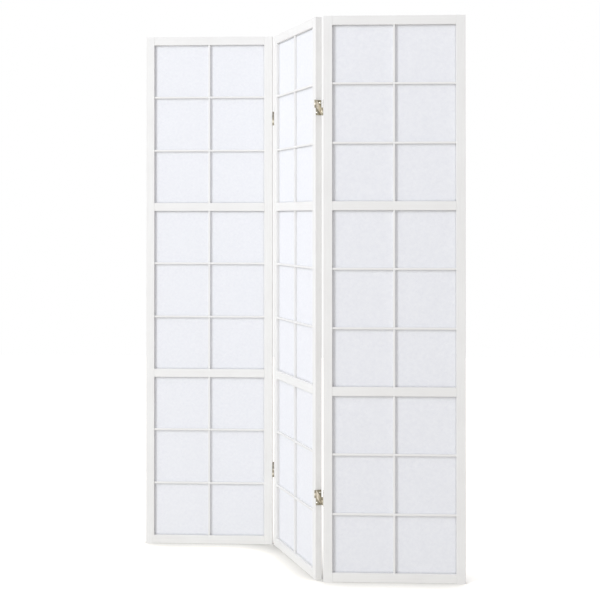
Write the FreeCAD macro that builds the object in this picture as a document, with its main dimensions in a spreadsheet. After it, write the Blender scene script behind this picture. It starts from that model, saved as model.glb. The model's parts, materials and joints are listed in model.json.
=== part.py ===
import FreeCAD, Part
import os

import Sketcher

# Three-panel shoji folding screen, in millimetres.
# +Z is up, the front is -Y, and the outer panels lie along X. The origin is on the floor, under
# the middle of the standing screen. Each panel has a frame of its own for its pieces: x from the
# panel's left edge, y from mid-thickness (front is -y), z from the floor. Each hinge has a frame
# at the middle of the gap that it bridges: x across the gap, y through the panel, z up.

DIMENSIONS = [
    # the panel
    ("panel_height", 1778.0),      # floor to top, 70 in
    ("panel_width", 445.0),        # edge to edge, 17.5 in
    ("panel_thickness", 21.0),
    ("stile_width", 28.6),         # uprights
    ("rail_height", 28.6),         # all four rails
    ("edge_bevel", 0.8),           # long edges of stiles and rails
    # the lattice and the paper
    ("bar_width", 6.5),
    ("bar_setback", 2.0),          # lattice face behind the frame face
    ("housing_depth", 3.0),        # how far a bar end enters the frame
    ("glue_line", 0.05),           # play all round a glued joint
    ("paper_thickness", 0.5),
    ("paper_gap", 0.1),            # from the paper to the bars on each side
    ("kerf_depth", 6.0),           # slot round each section that takes the paper's edge
    ("kerf_play", 0.3),            # on each side of the paper in the kerf
    ("kerf_rest", 1.0),            # from the paper's edge to the bottom of the kerf
    # the blind tenon on each rail end
    ("tenon_thickness", 7.0),      # a third of the panel's
    ("tenon_shoulder", 8.0),       # above and below the tenon
    ("mortise_depth", 20.0),
    ("tenon_end_gap", 0.5),
    # how the screen stands
    ("fold_angle", 69.0),          # each fold, measured from flat
    # the hinges
    ("hinge_height", 48.0),
    ("hinge_from_top", 287.0),     # top of the panel to the middle of the upper hinges
    ("hinge_from_floor", 260.0),   # floor to the middle of the lower hinges
    ("barrel_radius", 3.2),
    ("barrel_standoff", 1.5),      # barrel axis in front of the panel face
    ("knuckle_play", 0.3),         # between neighbouring knuckles
    ("pin_radius", 1.6),
    ("pin_play", 0.05),
    ("leaf_thickness", 1.2),       # leaves and links alike
    ("leaf_margin", 1.5),          # leaf edge inside the panel face
    ("link_clearance", 0.4),       # link edge to the knuckles it passes
]

LAYOUT = [
    ("half_thickness", "Dims.panel_thickness / 2"),
    ("rail_length", "Dims.panel_width - 2 * Dims.stile_width"),
    ("section_height", "(Dims.panel_height - 4 * Dims.rail_height) / 3"),
    ("section_pitch", "section_height + Dims.rail_height"),
    ("pane_height", "(section_height - 2 * Dims.bar_width) / 3"),
    ("bar_pitch", "pane_height + Dims.bar_width"),
    ("bar_front", "Dims.bar_setback - half_thickness"),
    ("bar_back", "-Dims.paper_thickness / 2 - Dims.paper_gap"),
    ("bar_middle", "(bar_front + bar_back) / 2"),
    ("first_bar", "Dims.rail_height + pane_height"),
    ("bar_entry", "Dims.housing_depth - Dims.glue_line"),
    ("kerf_width", "Dims.paper_thickness + 2 * Dims.kerf_play"),
    ("paper_entry", "Dims.kerf_depth - Dims.kerf_rest"),
    ("tenon_low", "Dims.tenon_shoulder"),
    ("tenon_high", "Dims.rail_height - Dims.tenon_shoulder"),
    # the hinge axes lie this far in front of and behind mid-thickness
    ("axis_offset", "half_thickness + Dims.barrel_standoff"),
    ("fold_cos", "cos(Dims.fold_angle * 1deg)"),
    ("fold_sin", "sin(Dims.fold_angle * 1deg)"),
    # plan of the standing screen: the steps from one panel's left end to the next panel's
    ("hinge_span", "Dims.panel_width + 2 * Dims.barrel_radius"),
    ("left_to_right_x", "hinge_span + hinge_span * fold_cos + 2 * axis_offset * fold_sin"),
    ("left_to_right_y", "2 * axis_offset * (fold_cos - 1) - hinge_span * fold_sin"),
    ("left_x", "-(left_to_right_x + Dims.panel_width) / 2"),
    ("left_y", "(half_thickness - axis_offset - Dims.barrel_radius - left_to_right_y) / 2"),
    ("right_x", "left_x + left_to_right_x"),
    ("right_y", "left_y + left_to_right_y"),
    ("middle_x", "left_x + Dims.panel_width + Dims.barrel_radius * (1 + fold_cos)"
                 " + axis_offset * fold_sin"),
    ("middle_y", "left_y + axis_offset * (fold_cos - 1) - Dims.barrel_radius * fold_sin"),
    # hinge heights and the stretches of one barrel
    ("upper_hinge_z", "Dims.panel_height - Dims.hinge_from_top"),
    ("lower_hinge_z", "Dims.hinge_from_floor"),
    ("hinge_spacing", "upper_hinge_z - lower_hinge_z"),
    ("knuckle_pitch", "Dims.hinge_height / 6"),
    ("knuckle_length", "knuckle_pitch - Dims.knuckle_play"),
    ("knuckle_bore", "Dims.pin_radius + Dims.pin_play"),
    ("leaf_outer", "-Dims.barrel_radius"),
    ("leaf_inner", "Dims.leaf_thickness - Dims.barrel_radius"),
    ("leaf_half_width", "half_thickness - Dims.leaf_margin"),
    ("link_half_width", "axis_offset - Dims.barrel_radius - Dims.link_clearance"),
]

doc = FreeCAD.newDocument("shoji_screen")
sheet = doc.addObject("Spreadsheet::Sheet", "Dims")
for row, (name, size) in enumerate(DIMENSIONS, start=1):
    sheet.set(f"A{row}", name)
    sheet.set(f"B{row}", str(size))
    sheet.setAlias(f"B{row}", name)
doc.recompute()

layout = doc.addObject("App::VarSet", "Layout")
for name, formula in LAYOUT:
    layout.addProperty("App::PropertyFloat", name, "Layout")
    layout.setExpression(name, formula)
    doc.recompute()

nodes = []


def value(formula):
    """The number that a formula of the sheet's and the layout's names gives."""
    return float(layout.evalExpression(formula))


# ---------------------------------------------------------------- bodies, sketches and features

def new_body(label):
    """A body that becomes one node; it may hold several alike pieces."""
    body = doc.addObject("PartDesign::Body", label)
    body.Label = label
    body.AllowCompound = True
    nodes.append(body)
    return body


def origin_part(body, role):
    return [part for part in body.Origin.OriginFeatures if part.Role == role][0]


def new_sketch(body, name, plane, lift="0", shift=("0", "0")):
    """A sketch on one of the body's own planes, lifted along the plane's normal."""
    sketch = body.newObject("Sketcher::SketchObject", name)
    sketch.AttachmentSupport = [(origin_part(body, plane), "")]
    sketch.MapMode = "FlatFace"
    sketch.setExpression("AttachmentOffset.Base.x", shift[0])
    sketch.setExpression("AttachmentOffset.Base.y", shift[1])
    sketch.setExpression("AttachmentOffset.Base.z", lift)
    return sketch


def pin_point(sketch, geometry, point, formulas):
    """Hold a point of the sketch at two formulas, measured from its origin."""
    for kind, axis, formula in zip(("DistanceX", "DistanceY"), (-2, -1), formulas):
        size = value(formula)
        if abs(size) < 1e-9:
            sketch.addConstraint(Sketcher.Constraint("PointOnObject", geometry, point, axis))
            continue
        held = sketch.addConstraint(Sketcher.Constraint(kind, -1, 1, geometry, point, size))
        sketch.setExpression(f"Constraints[{held}]", formula)


def add_outline(sketch, corners):
    """A closed outline of straight edges through corners given as pairs of formulas."""
    points = [FreeCAD.Vector(value(x), value(y), 0) for x, y in corners]
    edges = [Part.LineSegment(start, end) for start, end in zip(points, points[1:] + points[:1])]
    lines = sketch.addGeometry(edges, False)
    for line, following in zip(lines, lines[1:] + lines[:1]):
        sketch.addConstraint(Sketcher.Constraint("Coincident", line, 2, following, 1))
    for line, corner in zip(lines, corners):
        pin_point(sketch, line, 1, corner)


def add_rectangle(sketch, left, right, bottom, top):
    add_outline(sketch, [(left, bottom), (right, bottom), (right, top), (left, top)])


def add_circle(sketch, x, y, radius):
    centre = FreeCAD.Vector(value(x), value(y), 0)
    circle = sketch.addGeometry(Part.Circle(centre, FreeCAD.Vector(0, 0, 1), value(radius)), False)
    pin_point(sketch, circle, 3, (x, y))
    held = sketch.addConstraint(Sketcher.Constraint("Radius", circle, value(radius)))
    sketch.setExpression(f"Constraints[{held}]", radius)


def finish_feature(body, feature, must):
    """Recompute and check that the feature adds or takes material, as it must."""
    before = body.Shape.Volume if body.Shape.Solids else 0.0
    body.Tip = feature
    doc.recompute()
    change = feature.Shape.Volume - before
    if change * must <= 0:
        raise ValueError(f"{body.Label} {feature.Name} changed the volume by {change:.4f}")
    return feature


def pad(body, sketch, length, symmetric=False, backwards=False):
    feature = body.newObject("PartDesign::Pad", sketch.Name + "Pad")
    feature.Profile = sketch
    feature.setExpression("Length", length)
    feature.SideType = "Symmetric" if symmetric else "One side"
    feature.Reversed = backwards
    return finish_feature(body, feature, +1)


def pocket(body, sketch, depth, symmetric=False, backwards=False):
    feature = body.newObject("PartDesign::Pocket", sketch.Name + "Pocket")
    feature.Profile = sketch
    feature.setExpression("Length", depth)
    feature.SideType = "Symmetric" if symmetric else "One side"
    feature.Reversed = backwards
    return finish_feature(body, feature, -1)


def row_step(body, name, axis, pitch, count, backwards=False):
    """Equal steps along an axis of the body."""
    step = body.newObject("PartDesign::LinearPattern", name)
    step.Direction = (origin_part(body, axis), [""])
    step.Mode = "Spacing"
    step.setExpression("Offset", pitch)
    step.Occurrences = count
    step.Reversed = backwards
    return step


def half_turn_step(body, name, axis):
    """Half a turn round an axis of the body."""
    step = body.newObject("PartDesign::PolarPattern", name)
    step.Axis = (origin_part(body, axis), [""])
    step.Angle = 360
    step.Occurrences = 2
    return step


def repeat(body, originals, must, *steps):
    """Repeat features by one step, or by each of several steps in turn."""
    if len(steps) == 1:
        steps[0].Originals = originals
        return finish_feature(body, steps[0], must)
    feature = body.newObject("PartDesign::MultiTransform", originals[-1].Name + "All")
    feature.Originals = originals
    feature.Transformations = list(steps)
    return finish_feature(body, feature, must)


def row_of(body, originals, axis, pitch, count, must, backwards=False):
    name = originals[-1].Name + "Row"
    return repeat(body, originals, must, row_step(body, name, axis, pitch, count, backwards))


def bevel(body, base, direction, size):
    """Bevel the edges of a feature that run along a direction."""
    names = []
    for index, edge in enumerate(base.Shape.Edges, start=1):
        if edge.tangentAt(edge.FirstParameter).cross(direction).Length < 1e-6:
            names.append(f"Edge{index}")
    feature = body.newObject("PartDesign::Chamfer", base.Name + "Edges")
    feature.Base = (base, names)
    feature.setExpression("Size", size)
    return finish_feature(body, feature, -1)


# ------------------------------------------------------------------------------- placements

def at(x="0", y="0", z="0", turn_axis="0; 0; 1", turn="0"):
    """A placement, written as a formula."""
    return f"placement(vector({x}; {y}; {z}); rotation(vector({turn_axis}); {turn}))"


PANELS = {
    "left_panel": at("Layout.left_x", "Layout.left_y"),
    "middle_panel": at("Layout.middle_x", "Layout.middle_y", turn="-Dims.fold_angle"),
    "right_panel": at("Layout.right_x", "Layout.right_y"),
}


def put(body, panel, *steps):
    """Place a body in a panel's frame, through one or more placements."""
    body.setExpression("Placement", " * ".join((PANELS[panel],) + steps))


# ------------------------------------------------------------------------------- the panels

def add_tenon_outline(sketch, play):
    """Cross-section of a rail's tenon, or with play, of its mortise."""
    add_rectangle(sketch, f"-Dims.tenon_thickness / 2 - {play}", f"Dims.tenon_thickness / 2 + {play}",
                  f"Layout.tenon_low - {play}", f"Layout.tenon_high + {play}")


def make_stile(label):
    """Upright, inner face at +x: kerfs, bar housings and mortises."""
    body = new_body(label)
    section = new_sketch(body, label + "Section", "XY_Plane")
    add_rectangle(section, "0", "Dims.stile_width",
                  "-Layout.half_thickness", "Layout.half_thickness")
    block = pad(body, section, "Dims.panel_height")
    bevel(body, block, FreeCAD.Vector(0, 0, 1), "Dims.edge_bevel")

    kerf = new_sketch(body, label + "Kerf", "YZ_Plane", "Dims.stile_width")
    add_rectangle(kerf, "-Layout.kerf_width / 2", "Layout.kerf_width / 2",
                  "Dims.rail_height - Dims.kerf_depth",
                  "Dims.rail_height + Layout.section_height + Dims.kerf_depth")
    kerf_cut = pocket(body, kerf, "Dims.kerf_depth")

    housings = new_sketch(body, label + "Housings", "YZ_Plane", "Dims.stile_width")
    for low, high in (("Layout.bar_front", "Layout.bar_back"),
                      ("-Layout.bar_back", "-Layout.bar_front")):
        for step in ("0", "Layout.bar_pitch"):
            foot = f"Layout.first_bar + {step}"
            add_rectangle(housings, f"{low} - Dims.glue_line", f"{high} + Dims.glue_line",
                          f"{foot} - Dims.glue_line",
                          f"{foot} + Dims.bar_width + Dims.glue_line")
    housing_cut = pocket(body, housings, "Dims.housing_depth")
    row_of(body, [kerf_cut, housing_cut], "Z_Axis", "Layout.section_pitch", 3, -1)

    mortise = new_sketch(body, label + "Mortise", "YZ_Plane", "Dims.stile_width")
    add_tenon_outline(mortise, "Dims.glue_line")
    mortise_cut = pocket(body, mortise, "Dims.mortise_depth")
    row_of(body, [mortise_cut], "Z_Axis", "Layout.section_pitch", 4, -1)
    return body


def make_rail(label, kerf_below, kerf_above):
    """Rail centred on x: tenons, and kerfs and bar housings towards each section it borders."""
    body = new_body(label)
    section = new_sketch(body, label + "Section", "YZ_Plane")
    add_rectangle(section, "-Layout.half_thickness", "Layout.half_thickness",
                  "0", "Dims.rail_height")
    block = pad(body, section, "Layout.rail_length", symmetric=True)
    bevel(body, block, FreeCAD.Vector(1, 0, 0), "Dims.edge_bevel")

    for wanted, name, lift, upwards in ((kerf_below, "Lower", "0", True),
                                        (kerf_above, "Upper", "Dims.rail_height", False)):
        if not wanted:
            continue
        kerf = new_sketch(body, label + name + "Kerf", "XY_Plane", lift)
        add_rectangle(kerf, "-Layout.rail_length / 2", "Layout.rail_length / 2",
                      "-Layout.kerf_width / 2", "Layout.kerf_width / 2")
        pocket(body, kerf, "Dims.kerf_depth", backwards=upwards)
        housings = new_sketch(body, label + name + "Housings", "XY_Plane", lift)
        side = "(Dims.bar_width / 2 + Dims.glue_line)"
        for low, high in (("Layout.bar_front", "Layout.bar_back"),
                          ("-Layout.bar_back", "-Layout.bar_front")):
            add_rectangle(housings, f"-{side}", side,
                          f"{low} - Dims.glue_line", f"{high} + Dims.glue_line")
        pocket(body, housings, "Dims.housing_depth", backwards=upwards)

    tenon = new_sketch(body, label + "Tenon", "YZ_Plane", "Layout.rail_length / 2")
    add_tenon_outline(tenon, "0")
    tenon_pad = pad(body, tenon, "Dims.mortise_depth - Dims.tenon_end_gap")
    other_end = body.newObject("PartDesign::Mirrored", label + "OtherEnd")
    other_end.Originals = [tenon_pad]
    other_end.MirrorPlane = (origin_part(body, "YZ_Plane"), [""])
    finish_feature(body, other_end, +1)
    return body


def make_upright_bars(label):
    """Three upright lattice bars, notched half through where the cross bars pass in front."""
    body = new_body(label)
    section = new_sketch(body, label + "Section", "XY_Plane", "Dims.rail_height - Layout.bar_entry")
    add_rectangle(section, "-Dims.bar_width / 2", "Dims.bar_width / 2",
                  "Layout.bar_front", "Layout.bar_back")
    bar = pad(body, section, "Layout.section_height + 2 * Layout.bar_entry")

    notches = new_sketch(body, label + "Notches", "YZ_Plane")
    for step in ("0", "Layout.bar_pitch"):
        foot = f"Layout.first_bar + {step}"
        add_rectangle(notches, "Layout.bar_front", "Layout.bar_middle + Dims.glue_line / 2",
                      f"{foot} - Dims.glue_line", f"{foot} + Dims.bar_width + Dims.glue_line")
    laps = pocket(body, notches, "Dims.bar_width", symmetric=True)
    row_of(body, [bar, laps], "Z_Axis", "Layout.section_pitch", 3, +1)
    return body


def make_cross_bars(label):
    """Six cross lattice bars, notched half through behind, over the upright bars."""
    body = new_body(label)
    section = new_sketch(body, label + "Section", "YZ_Plane")
    add_rectangle(section, "Layout.bar_front", "Layout.bar_back",
                  "Layout.first_bar", "Layout.first_bar + Dims.bar_width")
    bar = pad(body, section, "Layout.rail_length + 2 * Layout.bar_entry", symmetric=True)

    notch = new_sketch(body, label + "Notch", "XY_Plane", "Layout.first_bar")
    side = "(Dims.bar_width / 2 + Dims.glue_line)"
    add_rectangle(notch, f"-{side}", side, "Layout.bar_middle - Dims.glue_line / 2",
                  "Layout.bar_back")
    lap = pocket(body, notch, "Dims.bar_width", backwards=True)
    repeat(body, [bar, lap], +1,
           row_step(body, label + "Pair", "Z_Axis", "Layout.bar_pitch", 2),
           row_step(body, label + "Sections", "Z_Axis", "Layout.section_pitch", 3))
    return body


def make_paper(label):
    """Three sheets at mid-thickness, their edges in the kerfs of the frame."""
    body = new_body(label)
    sheet_plan = new_sketch(body, label + "Plan", "XY_Plane", "Dims.rail_height - Layout.paper_entry")
    half = "(Layout.rail_length / 2 + Layout.paper_entry)"
    add_rectangle(sheet_plan, f"-{half}", half,
                  "-Dims.paper_thickness / 2", "Dims.paper_thickness / 2")
    paper = pad(body, sheet_plan, "Layout.section_height + 2 * Layout.paper_entry")
    row_of(body, [paper], "Z_Axis", "Layout.section_pitch", 3, +1)
    return body


def make_panel(panel):
    centre_x = "Dims.panel_width / 2"
    put(make_stile(panel + "_left_stile"), panel)
    put(make_stile(panel + "_right_stile"), panel, at("Dims.panel_width", turn="180"))

    rails = (("bottom_rail", False, True), ("lower_mid_rail", True, True),
             ("upper_mid_rail", True, True), ("top_rail", True, False))
    for order, (name, kerf_below, kerf_above) in enumerate(rails):
        height = f"{order} * Layout.section_pitch"
        put(make_rail(f"{panel}_{name}", kerf_below, kerf_above), panel, at(centre_x, "0", height))

    for side, turn in (("front", "0"), ("back", "180")):
        where = at(centre_x, turn=turn)
        put(make_upright_bars(f"{panel}_{side}_upright_bars"), panel, where)
        put(make_cross_bars(f"{panel}_{side}_cross_bars"), panel, where)
    put(make_paper(panel + "_paper"), panel, at(centre_x))


# ------------------------------------------------------------------------------- the hinges

def add_rolled_knuckle(sketch):
    """A leaf's end rolled round the front axis, with its pin bore and its run to the leaf."""
    radius = value("Dims.barrel_radius")
    axis_y = -value("Layout.axis_offset")
    inner_x = value("Layout.leaf_inner")
    rise = (radius ** 2 - inner_x ** 2) ** 0.5
    centre = FreeCAD.Vector(0, axis_y, 0)
    outer_start = FreeCAD.Vector(-radius, axis_y, 0)
    inner_end = FreeCAD.Vector(inner_x, axis_y + rise, 0)
    roll = Part.ArcOfCircle(outer_start, centre + FreeCAD.Vector(0, -radius, 0), inner_end)
    corners = [inner_end, FreeCAD.Vector(inner_x, 0, 0), FreeCAD.Vector(-radius, 0, 0), outer_start]
    lines = [Part.LineSegment(start, end) for start, end in zip(corners, corners[1:])]
    arc, inner, tie, outer = sketch.addGeometry([roll] + lines, False)
    pin_point(sketch, arc, 3, ("0", "-Layout.axis_offset"))
    pin_point(sketch, tie, 1, ("Layout.leaf_inner", "0"))
    for joined in (("Coincident", arc, 2, inner, 1), ("Coincident", inner, 2, tie, 1),
                   ("Coincident", tie, 2, outer, 1), ("Tangent", outer, 2, arc, 1),
                   ("Vertical", inner), ("Vertical", outer), ("Horizontal", tie)):
        sketch.addConstraint(Sketcher.Constraint(*joined))
    held = sketch.addConstraint(Sketcher.Constraint("Radius", arc, radius))
    sketch.setExpression(f"Constraints[{held}]", "Dims.barrel_radius")
    add_circle(sketch, "0", "-Layout.axis_offset", "Layout.knuckle_bore")


def hinge_rows(body, label):
    """The step from the first hinge of a fold to the second."""
    return row_step(body, label + "Hinges", "Z_Axis", "Layout.hinge_spacing", 2)


def make_leaves(label, hand):
    """Leaves on a panel's end face, at -x, each with two knuckles on the front axis.

    hand 1 has its barrel in the upper half of the hinge, hand -1 in the lower half.
    """
    body = new_body(label)
    plate = new_sketch(body, label + "Plate", "YZ_Plane", "Layout.leaf_outer")
    add_rectangle(plate, "-Layout.leaf_half_width", "Layout.leaf_half_width",
                  "-Dims.hinge_height / 2", "Dims.hinge_height / 2")
    flat = pad(body, plate, "Dims.leaf_thickness")
    repeat(body, [flat], +1, hinge_rows(body, label + "Plate"))

    knuckle = new_sketch(body, label + "Knuckle", "XY_Plane", f"{hand} * Dims.knuckle_play / 2")
    add_rolled_knuckle(knuckle)
    roll = pad(body, knuckle, "Layout.knuckle_length", backwards=hand < 0)
    repeat(body, [roll], +1,
           row_step(body, label + "Pair", "Z_Axis", "2 * Layout.knuckle_pitch", 2,
                    backwards=hand < 0),
           hinge_rows(body, label + "Knuckle"))
    return body


def make_links(label):
    """Diagonal links, each with a knuckle high on the front axis and one low on the back axis."""
    body = new_body(label)
    near, far = "-Layout.link_half_width", "Layout.link_half_width"
    play = "Dims.knuckle_play"
    plate = new_sketch(body, label + "Plate", "YZ_Plane")
    add_outline(plate, [(near, play), (far, f"{play} - Dims.hinge_height / 2"),
                        (far, f"-{play}"), (near, f"Dims.hinge_height / 2 - {play}")])
    flat = pad(body, plate, "Dims.leaf_thickness", symmetric=True)
    repeat(body, [flat], +1, hinge_rows(body, label + "Plate"))

    foot = f"Layout.knuckle_pitch + {play} / 2"
    tongue = new_sketch(body, label + "Tongue", "YZ_Plane")
    add_rectangle(tongue, "-Layout.axis_offset", near, foot, f"{foot} + Layout.knuckle_length")
    tongue_pad = pad(body, tongue, "Dims.leaf_thickness", symmetric=True)
    knuckle = new_sketch(body, label + "Knuckle", "XY_Plane", foot)
    add_circle(knuckle, "0", "-Layout.axis_offset", "Dims.barrel_radius")
    knuckle_pad = pad(body, knuckle, "Layout.knuckle_length")
    bore = new_sketch(body, label + "Bore", "XY_Plane", foot)
    add_circle(bore, "0", "-Layout.axis_offset", "Layout.knuckle_bore")
    bore_cut = pocket(body, bore, "Layout.knuckle_length", backwards=True)
    repeat(body, [tongue_pad, knuckle_pad, bore_cut], +1,
           half_turn_step(body, label + "Turn", "X_Axis"), hinge_rows(body, label + "Knuckle"))
    return body


def make_pins(label):
    """Two pins for each hinge, flush with the outer knuckles of their barrels."""
    body = new_body(label)
    foot = "Dims.knuckle_play / 4"
    outline = new_sketch(body, label + "Outline", "XY_Plane", foot)
    add_circle(outline, "0", "-Layout.axis_offset", "Dims.pin_radius")
    front_pin = pad(body, outline, f"Dims.hinge_height / 2 - {foot}")
    repeat(body, [front_pin], +1,
           half_turn_step(body, label + "Turn", "X_Axis"), hinge_rows(body, label))
    return body


def make_fold(fold, outer_panel, link_panel, middle_end, outer_end, inverted):
    """The two hinges of one fold.

    middle_end and outer_end are where the gap's middle lies in each panel's frame. The left
    fold's hinges are the right fold's turned upside down about y, which is inverted, so their
    row runs down from the upper hinge and not up from the lower one.
    """
    height = "Layout.upper_hinge_z" if inverted else "Layout.lower_hinge_z"
    flip = at(turn_axis="0; 1; 0", turn="180" if inverted else "0")
    at_middle = at(middle_end, "0", height)
    at_outer = at(outer_end, "0", height)
    at_link = at_middle if link_panel == "middle_panel" else at_outer
    put(make_leaves(fold + "_middle_leaves", 1), "middle_panel", at_middle, flip)
    put(make_leaves(fold + "_outer_leaves", -1), outer_panel, at_outer, flip, at(turn="180"))
    put(make_links(fold + "_links"), link_panel, at_link, flip)
    put(make_pins(fold + "_pins"), link_panel, at_link, flip)


for panel in PANELS:
    make_panel(panel)
BEFORE_LEFT_END = "-Dims.barrel_radius"
PAST_RIGHT_END = "Dims.panel_width + Dims.barrel_radius"
make_fold("left_fold", "left_panel", "left_panel", BEFORE_LEFT_END, PAST_RIGHT_END, inverted=True)
make_fold("right_fold", "right_panel", "middle_panel", PAST_RIGHT_END, BEFORE_LEFT_END,
          inverted=False)

# ------------------------------------------------------------------------------- check and write

doc.recompute()
for item in doc.Objects:
    if "Invalid" in item.State or "Error" in item.State:
        raise ValueError(f"{item.Name} failed: {item.State}")
for body in nodes:
    if body.Shape.isNull() or not body.Shape.isValid():
        raise ValueError(f"{body.Label} has no valid shape")

os.makedirs("parts", exist_ok=True)
for body in nodes:
    body.Shape.exportStep(f"parts/{body.Label}.step")
    print(f"{body.Label}: {len(body.Shape.Solids)} solids, {body.Shape.Volume:.1f} mm3")
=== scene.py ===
import json
import math

import bmesh
import bpy
from mathutils import Matrix, Vector, noise


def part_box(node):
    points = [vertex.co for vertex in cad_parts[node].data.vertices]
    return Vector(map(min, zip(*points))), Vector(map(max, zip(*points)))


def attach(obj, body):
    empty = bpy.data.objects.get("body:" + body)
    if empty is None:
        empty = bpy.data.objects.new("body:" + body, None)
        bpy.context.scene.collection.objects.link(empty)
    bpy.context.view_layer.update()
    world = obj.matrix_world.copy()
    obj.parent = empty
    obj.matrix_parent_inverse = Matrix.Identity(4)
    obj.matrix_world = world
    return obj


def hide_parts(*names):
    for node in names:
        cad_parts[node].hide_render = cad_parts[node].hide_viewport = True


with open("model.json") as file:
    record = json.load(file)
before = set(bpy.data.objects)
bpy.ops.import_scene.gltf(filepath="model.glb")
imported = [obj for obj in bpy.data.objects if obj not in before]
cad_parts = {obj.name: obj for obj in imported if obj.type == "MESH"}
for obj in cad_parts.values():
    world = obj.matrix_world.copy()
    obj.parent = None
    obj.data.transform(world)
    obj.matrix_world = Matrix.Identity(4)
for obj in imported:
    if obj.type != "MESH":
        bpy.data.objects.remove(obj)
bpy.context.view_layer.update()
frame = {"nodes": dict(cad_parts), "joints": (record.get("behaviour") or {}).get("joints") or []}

# Three-panel shoji folding screen: white painted wood frames, a square lattice on both sides of
# white fibre paper, and double-action hinges. Everything is in metres, in the part's frame.
# Stiles, rails, hinge leaves, links and pins are the CAD pieces, with finishes added here. The
# lattice, the paper sheets, the hinge screws and the pin heads are made here.

MM = 0.001
PANELS = ("left_panel", "middle_panel", "right_panel")
SECTIONS = ("lower", "middle", "upper")
PANE_COLUMNS, PANE_ROWS = 2, 3      # panes in each section


# ------------------------------------------------------------------ sizes, read from the frame

def extent(node, axis):
    """Lowest and highest place of a CAD piece along an axis."""
    low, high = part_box(node)
    return low[axis], high[axis]


X, Y, Z = 0, 1, 2
pins = {joint["name"]: Vector(joint["pos_m"]) for joint in frame["joints"]}
left_edge, left_stile_inner = extent("left_panel_left_stile", X)
right_stile_inner, right_edge = extent("left_panel_right_stile", X)
panel_width = right_edge - left_edge
rail_length = right_stile_inner - left_stile_inner
rail_height = extent("left_panel_bottom_rail", Z)[1]
panel_front, panel_back = extent("left_panel_left_stile", Y)
panel_middle = (panel_front + panel_back) / 2
section_pitch = extent("left_panel_lower_mid_rail", Z)[0]
section_height = section_pitch - rail_height
first_bar = extent("left_panel_front_cross_bars", Z)[0]
bar_left, bar_right = extent("left_panel_front_upright_bars", X)
bar_width = bar_right - bar_left
bar_front, bar_back = (y - panel_middle for y in extent("left_panel_front_cross_bars", Y))
bar_depth = bar_back - bar_front
bar_offset = (bar_front + bar_back) / 2
bar_pitch = first_bar - rail_height + bar_width
cross_left, cross_right = extent("left_panel_front_cross_bars", X)
bar_entry = (cross_right - cross_left - rail_length) / 2
paper_left, paper_right = extent("left_panel_paper", X)
paper_entry = (paper_right - paper_left - rail_length) / 2

# the hinge axes stand this far in front of and behind mid-thickness
axis_offset = (pins["left_fold_back_pins"] - pins["left_fold_front_pins"]).length / 2
middle_run = pins["right_fold_front_pins"] - pins["left_fold_front_pins"]
barrel_radius = (middle_run.length - panel_width) / 2
middle_turn = math.atan2(middle_run.y, middle_run.x)


def panel_frame(corner, turn=0.0):
    """From a panel's own frame (x from its left edge, y from mid-thickness, z up) to the part's."""
    return Matrix.Translation(corner) @ Matrix.Rotation(turn, 4, "Z")


def outer_panel_frame(panel):
    """The frame of a panel that lies along x."""
    left = extent(panel + "_left_stile", X)[0]
    front, back = extent(panel + "_left_stile", Y)
    return panel_frame((left, (front + back) / 2, 0))


# the left fold's front pins stand a barrel's radius short of the middle panel's left edge, and
# axis_offset in front of its mid-thickness
left_front_pin = pins["left_fold_front_pins"]
pin_to_corner = Matrix.Rotation(middle_turn, 3, "Z") @ Vector((barrel_radius, axis_offset, 0))
panel_frames = {
    "left_panel": outer_panel_frame("left_panel"),
    "middle_panel": panel_frame((left_front_pin.x + pin_to_corner.x,
                                 left_front_pin.y + pin_to_corner.y, 0), middle_turn),
    "right_panel": outer_panel_frame("right_panel"),
}
panel_turns = {"left_panel": 0.0, "middle_panel": middle_turn, "right_panel": 0.0}


# ------------------------------------------------------------------------------ node building

def srgb(code):
    """Linear colour of an sRGB hex code."""
    parts = [int(code[i:i + 2], 16) / 255 for i in (1, 3, 5)]
    return [p / 12.92 if p <= 0.04045 else ((p + 0.055) / 1.055) ** 2.4 for p in parts] + [1.0]


def add(tree, kind, inputs=None, **settings):
    """Add a node with its settings; inputs fill its sockets with values or with other sockets."""
    made = tree.nodes.new(kind)
    for name, value in settings.items():
        setattr(made, name, value)
    for socket, value in (inputs or {}).items():
        if isinstance(value, bpy.types.NodeSocket):
            tree.links.new(value, made.inputs[socket])
        else:
            made.inputs[socket].default_value = value
    return made


def new_material(name):
    """A material and its empty node tree."""
    material = bpy.data.materials.new(name)
    material.use_nodes = True
    material.node_tree.nodes.clear()
    return material, material.node_tree


def two_tone(tree, amount, low, high):
    """A blend of two colours, each given as the amount at which it is reached and its code."""
    ramp = add(tree, "ShaderNodeValToRGB", {"Fac": amount})
    for stop, (position, code) in zip(ramp.color_ramp.elements, (low, high)):
        stop.position = position
        stop.color = srgb(code)
    return ramp.outputs["Color"]


# ---------------------------------------------------------------------------------- materials

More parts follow.
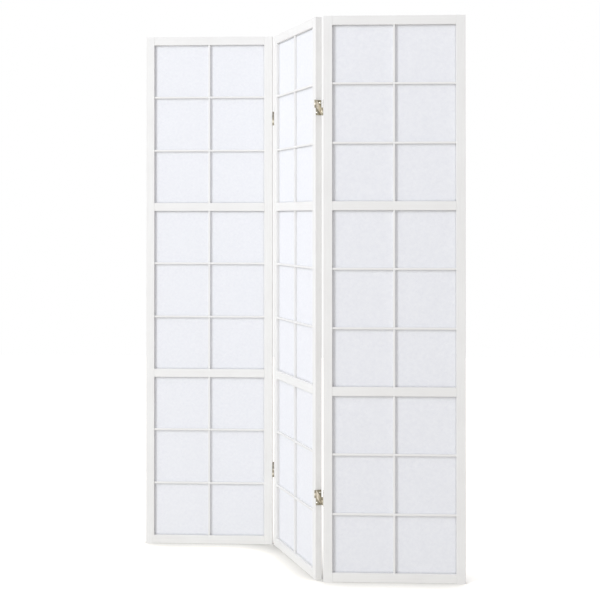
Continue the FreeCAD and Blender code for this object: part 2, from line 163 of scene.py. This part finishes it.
def painted_wood(name, grain, turn):
    """White satin enamel sprayed over planed softwood.

    The eye gets a warm, even white with a soft sheen; the grain only just telegraphs through as
    long faint streaks, under the fine pebble of the spray. grain is the streaks' size along the
    panel's x, y and z, and turn is the panel's.
    """
    material, tree = new_material(name)
    place = add(tree, "ShaderNodeTexCoord").outputs["Object"]
    along = add(tree, "ShaderNodeMapping", {"Vector": place, "Rotation": (0, 0, turn),
                                            "Scale": grain}, vector_type="TEXTURE")
    streaks = add(tree, "ShaderNodeTexNoise",
                  {"Vector": along.outputs[0], "Scale": 1.0, "Detail": 4.0, "Roughness": 0.6})
    # coats vary in thickness over a hand's width
    coats = add(tree, "ShaderNodeTexNoise", {"Vector": place, "Scale": 1 / (90 * MM)})
    # the spray's pebble is about 0.5 mm across, drawn at 1.5 mm so that it shows
    pebble = add(tree, "ShaderNodeTexNoise",
                 {"Vector": place, "Scale": 1 / (1.5 * MM), "Detail": 2.0})
    tone = add(tree, "ShaderNodeMix", {"Factor": 0.4, "A": streaks.outputs["Fac"],
                                       "B": coats.outputs["Fac"]}, data_type="FLOAT")
    colour = two_tone(tree, tone.outputs[0], (0.3, "#E6E5E3"), (0.7, "#EDEDEB"))
    sheen = add(tree, "ShaderNodeMapRange", {"Value": pebble.outputs["Fac"], "From Min": 0.3,
                                             "From Max": 0.7, "To Min": 0.38, "To Max": 0.52})
    grain_bump = add(tree, "ShaderNodeBump", {"Height": streaks.outputs["Fac"],
                                              "Strength": 0.35, "Distance": 0.15 * MM})
    pebble_bump = add(tree, "ShaderNodeBump",
                      {"Height": pebble.outputs["Fac"], "Strength": 0.25,
                       "Distance": 0.08 * MM, "Normal": grain_bump.outputs[0]})
    paint = add(tree, "ShaderNodeBsdfPrincipled",
                {"Base Color": colour, "Roughness": sheen.outputs["Result"],
                 "Normal": pebble_bump.outputs[0], "IOR": 1.5})
    add(tree, "ShaderNodeOutputMaterial", {"Surface": paint.outputs[0]})
    return material


def fibre_paper(name, turn):
    """White shoji paper: a matt non-woven sheet of long fibres, about 0.5 mm thick.

    The eye gets a cool, slightly blue white, cloudy like felt, with stray fibres; light from
    behind glows through. The fibres lie in two directions and are drawn 1 mm wide and 14 mm long,
    coarser than they are, so that they show.
    """
    let_through = 0.2       # share of the light that passes the sheet
    material, tree = new_material(name)
    place = add(tree, "ShaderNodeTexCoord").outputs["Object"]
    flat = add(tree, "ShaderNodeMapping", {"Vector": place, "Rotation": (0, 0, turn)},
               vector_type="TEXTURE")
    fibres = []
    for lean in (35, -50):
        laid = add(tree, "ShaderNodeMapping",
                   {"Vector": flat.outputs[0], "Rotation": (0, math.radians(lean), 0),
                    "Scale": (14 * MM, 14 * MM, 1 * MM)}, vector_type="TEXTURE")
        strands = add(tree, "ShaderNodeTexNoise", {"Vector": laid.outputs[0], "Scale": 1.0,
                                                   "Detail": 2.0, "Distortion": 0.6})
        fibres.append(strands.outputs["Fac"])
    crossed = add(tree, "ShaderNodeMath", {0: fibres[0], 1: fibres[1]}, operation="MAXIMUM")
    clouds = add(tree, "ShaderNodeTexNoise", {"Vector": flat.outputs[0], "Scale": 1 / (9 * MM),
                                              "Detail": 5.0, "Roughness": 0.65})
    pulp = add(tree, "ShaderNodeMix", {"Factor": 0.5, "A": crossed.outputs[0],
                                       "B": clouds.outputs["Fac"]}, data_type="FLOAT")
    colour = two_tone(tree, pulp.outputs[0], (0.38, "#F0F1F5"), (0.68, "#F9FAFC"))
    felt = add(tree, "ShaderNodeBump", {"Height": pulp.outputs[0], "Strength": 0.5,
                                        "Distance": 0.2 * MM})
    front = add(tree, "ShaderNodeBsdfPrincipled",
                {"Base Color": colour, "Roughness": 0.92, "Specular IOR Level": 0.2,
                 "Normal": felt.outputs[0]})
    through = add(tree, "ShaderNodeBsdfTranslucent", {"Color": colour, "Normal": felt.outputs[0]})
    sheet = add(tree, "ShaderNodeMixShader",
                {0: let_through, 1: front.outputs[0], 2: through.outputs[0]})
    add(tree, "ShaderNodeOutputMaterial", {"Surface": sheet.outputs[0]})
    return material


def plated_steel(name, dark, light, roughness):
    """Pressed mild steel, barrel-plated in a thin yellowish nickel.

    The eye gets a champagne metal, mottled every few millimetres where the plating pooled, with
    the fine drag marks of the press tool running up the hinge. The marks vary the gloss, between
    a little smoother than roughness and a little rougher.
    """
    smoother, rougher = 0.08, 0.12
    mark_width, mark_length = 0.3 * MM, 9 * MM
    material, tree = new_material(name)
    place = add(tree, "ShaderNodeTexCoord").outputs["Object"]
    mottle = add(tree, "ShaderNodeTexNoise", {"Vector": place, "Scale": 1 / (4 * MM),
                                              "Detail": 4.0})
    drawn = add(tree, "ShaderNodeMapping",
                {"Vector": place, "Scale": (mark_width, mark_width, mark_length)},
                vector_type="TEXTURE")
    drag = add(tree, "ShaderNodeTexNoise", {"Vector": drawn.outputs[0], "Scale": 1.0})
    colour = two_tone(tree, mottle.outputs["Fac"], (0.35, dark), (0.65, light))
    gloss = add(tree, "ShaderNodeMapRange", {"Value": drag.outputs["Fac"],
                                             "To Min": roughness - smoother,
                                             "To Max": roughness + rougher})
    marks = add(tree, "ShaderNodeBump", {"Height": drag.outputs["Fac"], "Strength": 0.3,
                                         "Distance": 0.03 * MM})
    metal = add(tree, "ShaderNodeBsdfPrincipled",
                {"Base Color": colour, "Metallic": 1.0, "Roughness": gloss.outputs["Result"],
                 "Normal": marks.outputs[0]})
    add(tree, "ShaderNodeOutputMaterial", {"Surface": metal.outputs[0]})
    return material


# wood streaks are 3 mm wide and 160 mm long
STREAK_WIDTH, STREAK_LENGTH = 3 * MM, 160 * MM
UPRIGHT_GRAIN = (STREAK_WIDTH, STREAK_WIDTH, STREAK_LENGTH)
CROSS_GRAIN = (STREAK_LENGTH, STREAK_WIDTH, STREAK_WIDTH)

upright_paint, cross_paint, paper_finish = {}, {}, {}
for panel in PANELS:
    turn = panel_turns[panel]
    upright_paint[panel] = painted_wood(f"{panel}_enamelled_upright_wood", UPRIGHT_GRAIN, turn)
    cross_paint[panel] = painted_wood(f"{panel}_enamelled_cross_wood", CROSS_GRAIN, turn)
    paper_finish[panel] = fibre_paper(f"{panel}_shoji_fibre_paper", turn)
# painted shade: the leaves are the same plating as the links, but their colour is painted darker
# for the shade they sit in, recessed behind the links; their duller gloss is real roughness
leaf_steel = plated_steel("dulled_and_shaded_plated_leaf_steel", "#857F70", "#B0AA99", 0.4)
link_steel = plated_steel("bright_plated_link_steel", "#BFB6A7", "#E0D9CB", 0.3)
pin_steel = plated_steel("plated_turned_pin_steel", "#958E7C", "#C6BEAC", 0.26)
screw_steel = plated_steel("zinc_plated_screw_steel", "#CFCDC6", "#F0EFEB", 0.22)

# the CAD bars and paper get a finish too, but are replaced further down
HINGE_FINISHES = {"leaves": leaf_steel, "links": link_steel, "pins": pin_steel}
for name, piece in frame["nodes"].items():
    panel = next((p for p in PANELS if name.startswith(p)), None)
    if panel is None:
        finish = HINGE_FINISHES[name.rpartition("_")[2]]
    elif name.endswith("_rail"):
        finish = cross_paint[panel]
    else:
        finish = upright_paint[panel]
    for material_slot in piece.material_slots:
        material_slot.material = finish


# ----------------------------------------------------------------------------- object building

def new_object(name, data):
    """Put a mesh, a lamp or a camera into the scene."""
    made = bpy.data.objects.new(name, data)
    bpy.context.scene.collection.objects.link(made)
    return made


def new_tree(name, inputs):
    """A geometry tree with an incoming mesh and named inputs, given as name: (kind, value)."""
    tree = bpy.data.node_groups.new(name, "GeometryNodeTree")
    tree.interface.new_socket("Geometry", in_out="OUTPUT", socket_type="NodeSocketGeometry")
    tree.interface.new_socket("Geometry", in_out="INPUT", socket_type="NodeSocketGeometry")
    for label, (kind, value) in inputs.items():
        socket = tree.interface.new_socket(label, in_out="INPUT", socket_type=kind)
        if value is not None:
            socket.default_value = value
    return tree


def grown(name, tree, start, values, place):
    """Run a geometry tree on a starting mesh and return its result as a plain, placed object."""
    seed = new_object(name + "_seed", start)
    modifier = seed.modifiers.new("grow", "NODES")
    modifier.node_group = tree
    for item in tree.interface.items_tree:
        if item.in_out == "INPUT" and item.name in values:
            modifier[item.identifier] = values[item.name]
    ready = seed.evaluated_get(bpy.context.evaluated_depsgraph_get())
    mesh = bpy.data.meshes.new_from_object(ready)
    seed.modifiers.remove(modifier)
    bpy.data.objects.remove(seed)
    mesh.name = name
    mesh.transform(place)
    return new_object(name, mesh)


# -------------------------------------------------------------------------------- the lattice

LENGTH = "NodeSocketFloat"
COUNT = "NodeSocketInt"
FINISH = "NodeSocketMaterial"
BAR_EDGE_RADIUS = 0.5 * MM
GLUE_LINE = 0.1 * MM        # above and below a cross bar in its notch


def lattice_tree():
    """The lattice of one panel, in its own frame: cross bars half-lapped over upright bars.

    Each bar is a strip with softened edges. The upright bars lose a notch where each cross bar
    passes in front, and the whole is repeated, turned about, on the other side of the paper.
    """
    tree = new_tree("shoji_lattice", {
        "Sections": (COUNT, len(SECTIONS)), "Cross Bars per Section": (COUNT, PANE_ROWS - 1),
        "Section Pitch": (LENGTH, section_pitch), "Bar Pitch": (LENGTH, bar_pitch),
        "First Bar": (LENGTH, first_bar), "Rail Height": (LENGTH, rail_height),
        "Section Height": (LENGTH, section_height), "Bar Entry": (LENGTH, bar_entry),
        "Bar Width": (LENGTH, bar_width), "Bar Depth": (LENGTH, bar_depth),
        "Bar Offset": (LENGTH, bar_offset), "Bar Length": (LENGTH, rail_length + 2 * bar_entry),
        "Edge Radius": (LENGTH, BAR_EDGE_RADIUS), "Glue Line": (LENGTH, GLUE_LINE),
        "Panel Width": (LENGTH, panel_width),
        "Upright Finish": (FINISH, None), "Cross Finish": (FINISH, None),
    })
    given = add(tree, "NodeGroupInput").outputs

    def maths(operation, first, second, third=0.0):
        return add(tree, "ShaderNodeMath", {0: first, 1: second, 2: third},
                   operation=operation).outputs[0]

    def vector(x=0.0, y=0.0, z=0.0):
        return add(tree, "ShaderNodeCombineXYZ", {"X": x, "Y": y, "Z": z}).outputs[0]

    def strip(start, end, width, depth):
        """A bar from start to end whose section is a rectangle with rounded corners."""
        path = add(tree, "GeometryNodeCurvePrimitiveLine", {"Start": start, "End": end})
        section = add(tree, "GeometryNodeCurvePrimitiveQuadrilateral",
                      {"Width": width, "Height": depth})
        softened = add(tree, "GeometryNodeFilletCurve",
                       {"Curve": section.outputs[0], "Count": 3, "Radius": given["Edge Radius"]},
                       mode="POLY")
        return add(tree, "GeometryNodeCurveToMesh",
                   {"Curve": path.outputs[0], "Profile Curve": softened.outputs[0],
                    "Fill Caps": True}).outputs[0]

    def rising(count, pitch):
        """Points one above another."""
        return add(tree, "GeometryNodeMeshLine",
                   {"Count": count, "Offset": vector(z=pitch)}).outputs[0]

    def set_on(points, instance):
        placed = add(tree, "GeometryNodeInstanceOnPoints",
                     {"Points": points, "Instance": instance})
        return add(tree, "GeometryNodeRealizeInstances", {0: placed.outputs[0]}).outputs[0]

    def moved(shape, offset):
        return add(tree, "GeometryNodeTransform",
                   {"Geometry": shape, "Translation": offset}).outputs[0]

    def finished(shape, finish):
        return add(tree, "GeometryNodeSetMaterial",
                   {"Geometry": shape, "Material": finish}).outputs[0]

    half_length = maths("MULTIPLY", given["Bar Length"], 0.5)
    cross = strip(vector(x=maths("MULTIPLY", half_length, -1.0)), vector(x=half_length),
                  given["Bar Depth"], given["Bar Width"])
    sections = rising(given["Sections"], given["Section Pitch"])
    in_section = rising(given["Cross Bars per Section"], given["Bar Pitch"])
    crossings = set_on(sections, in_section)
    bar_centre = maths("MULTIPLY_ADD", given["Bar Width"], 0.5, given["First Bar"])
    cross_bars = moved(set_on(crossings, cross), vector(y=given["Bar Offset"], z=bar_centre))

    upright_run = maths("MULTIPLY_ADD", given["Bar Entry"], 2.0, given["Section Height"])
    upright = strip(vector(), vector(z=upright_run), given["Bar Width"], given["Bar Depth"])
    foot = maths("SUBTRACT", given["Rail Height"], given["Bar Entry"])
    uprights = moved(set_on(sections, upright), vector(y=given["Bar Offset"], z=foot))

    # the notch takes the cross bar and its glue lines, and reaches halfway through the upright bar
    notch_height = maths("MULTIPLY_ADD", given["Glue Line"], 2.0, given["Bar Width"])
    notch_size = vector(maths("MULTIPLY", given["Bar Width"], 2.0), given["Bar Depth"],
                        notch_height)
    notch = add(tree, "GeometryNodeMeshCube", {"Size": notch_size}).outputs[0]
    notch_y = maths("MULTIPLY_ADD", given["Bar Depth"], -0.5, given["Bar Offset"])
    notches = moved(set_on(crossings, notch), vector(y=notch_y, z=bar_centre))
    lapped = add(tree, "GeometryNodeMeshBoolean", operation="DIFFERENCE", solver="EXACT")
    tree.links.new(uprights, lapped.inputs["Mesh 1"])
    tree.links.new(notches, lapped.inputs["Mesh 2"])

    one_side = add(tree, "GeometryNodeJoinGeometry")
    tree.links.new(finished(cross_bars, given["Cross Finish"]), one_side.inputs[0])
    tree.links.new(finished(lapped.outputs["Mesh"], given["Upright Finish"]), one_side.inputs[0])
    turned = add(tree, "GeometryNodeTransform",
                 {"Geometry": one_side.outputs[0], "Rotation": (0, 0, math.pi)})
    both = add(tree, "GeometryNodeJoinGeometry")
    tree.links.new(one_side.outputs[0], both.inputs[0])
    tree.links.new(turned.outputs[0], both.inputs[0])
    centred = moved(both.outputs[0], vector(x=maths("MULTIPLY", given["Panel Width"], 0.5)))
    add(tree, "NodeGroupOutput", {0: centred})
    return tree


lattice = lattice_tree()
for panel in PANELS:
    finishes = {"Upright Finish": upright_paint[panel], "Cross Finish": cross_paint[panel]}
    bars = grown(panel + "_lattice", lattice, bpy.data.meshes.new("start"), finishes,
                 panel_frames[panel])
    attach(bars, panel)
    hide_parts(*(f"{panel}_{side}_{run}_bars" for side in ("front", "back")
                        for run in ("upright", "cross")))


# ------------------------------------------------------------------------------- paper sheets

PAPER_THICKNESS = 0.5 * MM
PAPER_BELLY = 0.5 * MM      # about how far a pane's middle stands out of flat
BULGE, CREASE = 1.6, 0.35   # shares of it: one bulge to a pane, and finer creases across it
CREASES_PER_METRE = 14
PAPER_GRID = 12 * MM        # spacing of the sheet's mesh
sheet_width = rail_length + 2 * paper_entry
sheet_height = section_height + 2 * paper_entry

# steps through the noise from one pane, section or panel to the next, and the level at which it
# is read, so that the panes don't all bulge alike
COLUMN_STEP, ROW_STEP, NOISE_LEVEL = 1.7, 2.3, 0.37
PANEL_STEP, SECTION_STEP = 3.1, 1.3


def pane_belly(x, z, seed):
    """How far the glued and dried paper stands out of flat, x and z measured in the opening."""
    if not (0 < x < rail_length and 0 < z < section_height):
        return 0.0
    column, across = divmod(x / rail_length * PANE_COLUMNS, 1)
    row, up = divmod(z / section_height * PANE_ROWS, 1)
    bulge = BULGE * noise.noise(Vector((column * COLUMN_STEP + seed, row * ROW_STEP, NOISE_LEVEL)))
    crease = CREASE * noise.noise(Vector((x * CREASES_PER_METRE, z * CREASES_PER_METRE, seed)))
    return PAPER_BELLY * (bulge + crease) * math.sin(math.pi * across) * math.sin(math.pi * up)


def paper_sheet(name, foot, seed, place, finish):
    """One sheet, held taut in the kerfs, as a closed skin PAPER_THICKNESS thick."""
    mesh = bpy.data.meshes.new(name)
    shape = bmesh.new()
    columns = round(sheet_width / PAPER_GRID)
    rows = round(sheet_height / PAPER_GRID)
    points = []
    for row in range(rows + 1):
        z = row / rows * sheet_height - paper_entry
        line = []
        for column in range(columns + 1):
            x = column / columns * sheet_width - paper_entry
            line.append(shape.verts.new((x, pane_belly(x, z, seed), z)))
        points.append(line)
    for below, above in zip(points, points[1:]):
        for corners in zip(below, below[1:], above[1:], above):
            shape.faces.new(corners).smooth = True
    shape.to_mesh(mesh)
    shape.free()
    mesh.transform(place @ Matrix.Translation((panel_width / 2 - rail_length / 2, 0, foot)))
    mesh.materials.append(finish)
    sheet = new_object(name, mesh)
    skin = sheet.modifiers.new("thickness", "SOLIDIFY")
    skin.thickness = PAPER_THICKNESS
    skin.offset = 0
    return sheet


for order, panel in enumerate(PANELS):
    for level, section in enumerate(SECTIONS):
        foot = level * section_pitch + rail_height
        seed = PANEL_STEP * order + SECTION_STEP * level
        sheet = paper_sheet(f"{panel}_{section}_paper_sheet", foot, seed, panel_frames[panel],
                            paper_finish[panel])
        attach(sheet, panel)
        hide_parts(panel + "_paper")


# ------------------------------------------------------------------- hinge screws and pin heads

SCREW_HEAD_RADIUS = 2.9 * MM
SCREW_TOP_RADIUS = 1.9 * MM
SCREW_HEAD_HEIGHT = 0.9 * MM
RECESS_LENGTH, RECESS_WIDTH = 1.6, 0.36     # of the cross recess, as shares of the top radius
SCREW_RISE = 15 * MM         # above or below the middle of the hinge
SCREW_OFFSET = 5.5 * MM      # in front of or behind mid-thickness
LEAF_THICKNESS = 1.2 * MM
HINGE_HEIGHT = 48 * MM
LINK_INSET = 0.3 * MM        # the links stop this far inside the hinge's ends
PIN_HEAD_RADIUS = 2.4 * MM
PIN_HEAD_HEIGHT = 0.9 * MM
links_low, links_high = extent("right_fold_links", Z)
lower_hinge = links_low + HINGE_HEIGHT / 2 - LINK_INSET
upper_hinge = links_high - HINGE_HEIGHT / 2 + LINK_INSET


def points_facing(name, places):
    """A mesh of bare points; each remembers which way its fastener faces."""
    mesh = bpy.data.meshes.new(name)
    mesh.from_pydata([point for point, facing in places], [], [])
    facings = mesh.attributes.new("facing", "FLOAT_VECTOR", "POINT")
    for item, (point, facing) in zip(facings.data, places):
        item.vector = facing
    return mesh


def fastener_tree(name, inputs, build):
    """Set one fastener, made along +z by build, on every incoming point, facing as it says."""
    tree = new_tree(name, {**inputs, "Finish": (FINISH, None)})
    given = add(tree, "NodeGroupInput").outputs
    facing = add(tree, "GeometryNodeInputNamedAttribute", {"Name": "facing"},
                 data_type="FLOAT_VECTOR")
    turned = add(tree, "FunctionNodeAlignRotationToVector",
                 {"Vector": facing.outputs["Attribute"]}, axis="Z")
    placed = add(tree, "GeometryNodeInstanceOnPoints",
                 {"Points": given["Geometry"], "Instance": build(tree, given),
                  "Rotation": turned.outputs[0]})
    real = add(tree, "GeometryNodeRealizeInstances", {0: placed.outputs[0]})
    finished = add(tree, "GeometryNodeSetMaterial",
                   {"Geometry": real.outputs[0], "Material": given["Finish"]})
    add(tree, "NodeGroupOutput", {0: finished.outputs[0]})
    return tree


def screw_head(tree, given):
    """A low head with a sloping rim, its foot at z = 0, with a cross recess."""
    head = add(tree, "GeometryNodeMeshCone",
               {"Vertices": 28, "Radius Top": given["Top Radius"],
                "Radius Bottom": given["Head Radius"], "Depth": given["Head Height"]})
    length, width = (add(tree, "ShaderNodeMath", {0: given["Top Radius"], 1: share},
                         operation="MULTIPLY").outputs[0]
                     for share in (RECESS_LENGTH, RECESS_WIDTH))
    top = add(tree, "ShaderNodeCombineXYZ", {"Z": given["Head Height"]}).outputs[0]
    cut = add(tree, "GeometryNodeMeshBoolean", operation="DIFFERENCE", solver="EXACT")
    tree.links.new(head.outputs[0], cut.inputs["Mesh 1"])
    for sides in ({"X": length, "Y": width}, {"X": width, "Y": length}):
        size = add(tree, "ShaderNodeCombineXYZ", {**sides, "Z": given["Head Height"]})
        slot = add(tree, "GeometryNodeMeshCube", {"Size": size.outputs[0]})
        raised = add(tree, "GeometryNodeTransform",
                     {"Geometry": slot.outputs[0], "Translation": top})
        tree.links.new(raised.outputs[0], cut.inputs["Mesh 2"])
    return cut.outputs["Mesh"]


def pin_head(tree, given):
    """A low dome on the end of a hinge pin, its foot at z = 0."""
    ball = add(tree, "GeometryNodeMeshUVSphere", {"Segments": 24, "Rings": 12, "Radius": 1.0})
    size = add(tree, "ShaderNodeCombineXYZ", {"X": given["Head Radius"],
                                              "Y": given["Head Radius"],
                                              "Z": given["Head Height"]})
    dome = add(tree, "GeometryNodeTransform",
               {"Geometry": ball.outputs[0], "Scale": size.outputs[0]})
    smooth = add(tree, "GeometryNodeSetShadeSmooth", {0: dome.outputs[0]})
    return smooth.outputs[0]


screws = fastener_tree("cross_head_screws", {
    "Head Radius": (LENGTH, SCREW_HEAD_RADIUS), "Top Radius": (LENGTH, SCREW_TOP_RADIUS),
    "Head Height": (LENGTH, SCREW_HEAD_HEIGHT)}, screw_head)
pin_heads = fastener_tree("riveted_pin_heads", {
    "Head Radius": (LENGTH, PIN_HEAD_RADIUS), "Head Height": (LENGTH, PIN_HEAD_HEIGHT)}, pin_head)


def leaf_screws(end_x, facing, front_screw):
    """Places of the screws in one panel end, in the panel's frame; front_screw is +1 if the
    screw in the front half of each leaf is the upper one."""
    face = end_x + facing * LEAF_THICKNESS
    return [((face, -side * SCREW_OFFSET, height + side * front_screw * SCREW_RISE),
             (facing, 0, 0))
            for height in (lower_hinge, upper_hinge) for side in (1, -1)]


screw_places = {
    "left_panel": leaf_screws(panel_width, 1, 1),
    "middle_panel": leaf_screws(0, -1, 1) + leaf_screws(panel_width, 1, -1),
    "right_panel": leaf_screws(0, -1, -1),
}
for panel, places in screw_places.items():
    name = panel + "_hinge_screws"
    set_screws = grown(name, screws, points_facing(name + "_points", places),
                       {"Finish": screw_steel}, panel_frames[panel])
    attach(set_screws, panel)


def barrel_ends(front, back, front_is_high):
    """Both ends of the two barrels of each hinge, in the part's frame."""
    ends = []
    for height in (lower_hinge, upper_hinge):
        for pin, high in ((front, front_is_high), (back, not front_is_high)):
            tip = HINGE_HEIGHT / 2 if high else -HINGE_HEIGHT / 2
            ends.append(((pin.x, pin.y, height + tip), (0, 0, math.copysign(1, tip))))
            ends.append(((pin.x, pin.y, height), (0, 0, -math.copysign(1, tip))))
    return ends


for fold, front_is_high in (("left", False), ("right", True)):
    name = fold + "_fold_pin_heads"
    places = barrel_ends(pins[fold + "_fold_front_pins"], pins[fold + "_fold_back_pins"],
                         front_is_high)
    heads = grown(name, pin_heads, points_facing(name + "_points", places),
                  {"Finish": pin_steel}, Matrix())
    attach(heads, fold + "_links")


# ------------------------------------------------------------------------ floor, light, camera

def bright_to_camera(tree):
    """1 for rays that look straight, by reflection or through glass, and 0 for light."""
    rays = add(tree, "ShaderNodeLightPath").outputs
    shiny = add(tree, "ShaderNodeMath", {0: rays["Is Camera Ray"], 1: rays["Is Glossy Ray"]},
                operation="MAXIMUM")
    return add(tree, "ShaderNodeMath", {0: shiny.outputs[0], 1: rays["Is Transmission Ray"]},
               operation="MAXIMUM").outputs[0]


AMBIENT = 0.63          # light from the room, where 1 is white
FLOOR_GLOW = 0.61       # added to the floor for the camera, so that it ends up white
CONTACT_SHADOW = 160 * MM
ROOM_TINT, FLOOR_COLOUR, WHITE = "#FCFBFF", "#EFECE4", "#FFFFFF"

world = bpy.data.worlds.new("white_studio")
bpy.context.scene.world = world
world.use_nodes = True
tree = world.node_tree
tree.nodes.clear()
seen = bright_to_camera(tree)
strength = add(tree, "ShaderNodeMapRange", {"Value": seen, "To Min": AMBIENT, "To Max": 1.0})
tint = add(tree, "ShaderNodeMix", {0: seen, 6: srgb(ROOM_TINT), 7: srgb(WHITE)},
           data_type="RGBA")
room = add(tree, "ShaderNodeBackground",
           {"Color": tint.outputs[2], "Strength": strength.outputs["Result"]})
add(tree, "ShaderNodeOutputWorld", {"Surface": room.outputs[0]})

# the sweep darkens where something stands close on it, as in the photograph
floor_finish, tree = new_material("white_paper_sweep")
# painted contact shadow: for the camera only, the floor's colour and its glow are darkened by
# ambient occlusion close to the screen
contact = add(tree, "ShaderNodeAmbientOcclusion", {"Color": srgb(FLOOR_COLOUR),
                                                   "Distance": CONTACT_SHADOW}, samples=16)
seen = bright_to_camera(tree)
sweep = add(tree, "ShaderNodeMix", {0: seen, 6: srgb(FLOOR_COLOUR), 7: contact.outputs["Color"]},
            data_type="RGBA")
paper_floor = add(tree, "ShaderNodeBsdfDiffuse", {"Color": sweep.outputs[2]})
open_floor = add(tree, "ShaderNodeMath", {0: contact.outputs["AO"], 1: FLOOR_GLOW},
                 operation="MULTIPLY")
glow = add(tree, "ShaderNodeMath", {0: seen, 1: open_floor.outputs[0]}, operation="MULTIPLY")
glowing = add(tree, "ShaderNodeEmission", {"Color": srgb(WHITE), "Strength": glow.outputs[0]})
lit = add(tree, "ShaderNodeAddShader", {0: paper_floor.outputs[0], 1: glowing.outputs[0]})
add(tree, "ShaderNodeOutputMaterial", {"Surface": lit.outputs[0]})

FLOOR_HALF = 6.0        # from the middle of the floor to its edges
floor_mesh = bpy.data.meshes.new("floor")
floor_mesh.from_pydata([(-FLOOR_HALF, -FLOOR_HALF, 0), (FLOOR_HALF, -FLOOR_HALF, 0),
                        (FLOOR_HALF, FLOOR_HALF, 0), (-FLOOR_HALF, FLOOR_HALF, 0)],
                       [], [(0, 1, 2, 3)])
floor_mesh.materials.append(floor_finish)
new_object("floor", floor_mesh)

# A tall strip softbox to the left, so that shadows fall right and down and are softer below a
# rail than beside a stile. It stands well back, so that the far panel gets nearly as much of it
# as the near one.
SOFTBOX_WIDTH, SOFTBOX_HEIGHT = 1.8, 4.5
SOFTBOX_WATTS = 385
SOFTBOX_COLOUR = "#F8FBFF"
SOFTBOX_PLACE = (-5.4, -5.4, 4.4)
SOFTBOX_AIM = Vector((0, 0, 1.0))
key = bpy.data.lights.new("softbox", "AREA")
key.shape = "RECTANGLE"
key.size = SOFTBOX_WIDTH
key.size_y = SOFTBOX_HEIGHT
key.energy = SOFTBOX_WATTS
key.color = srgb(SOFTBOX_COLOUR)[:3]
softbox = new_object("softbox", key)
softbox.location = SOFTBOX_PLACE
softbox.rotation_euler = (SOFTBOX_AIM - softbox.location).to_track_quat("-Z", "Y").to_euler()

# the photograph's camera: its place, its angles in degrees, the lens's focal length and the
# optical centre in pixels of the 600 px frame
CAMERA_PLACE = (0.2064, -4.1306, 1.1442)
CAMERA_TILT = 0.337         # above level
CAMERA_TURN = 2.779         # to the left of straight back
LEVEL = 90                  # from looking straight down
PHOTO_SIDE = 600
FOCAL_PIXELS = 1240.9
CENTRE_PIXELS = (298.4, 210.0)
SENSOR_WIDTH = 36           # mm
lens = bpy.data.cameras.new("camera")
lens.sensor_width = SENSOR_WIDTH
lens.lens = FOCAL_PIXELS * SENSOR_WIDTH / PHOTO_SIDE
lens.shift_x = (PHOTO_SIDE / 2 - CENTRE_PIXELS[0]) / PHOTO_SIDE
lens.shift_y = (CENTRE_PIXELS[1] - PHOTO_SIDE / 2) / PHOTO_SIDE
camera = new_object("camera", lens)
camera.location = CAMERA_PLACE
camera.rotation_euler = (math.radians(LEVEL + CAMERA_TILT), 0, math.radians(CAMERA_TURN))
bpy.context.scene.camera = camera

bpy.context.scene.view_settings.view_transform = "Standard"
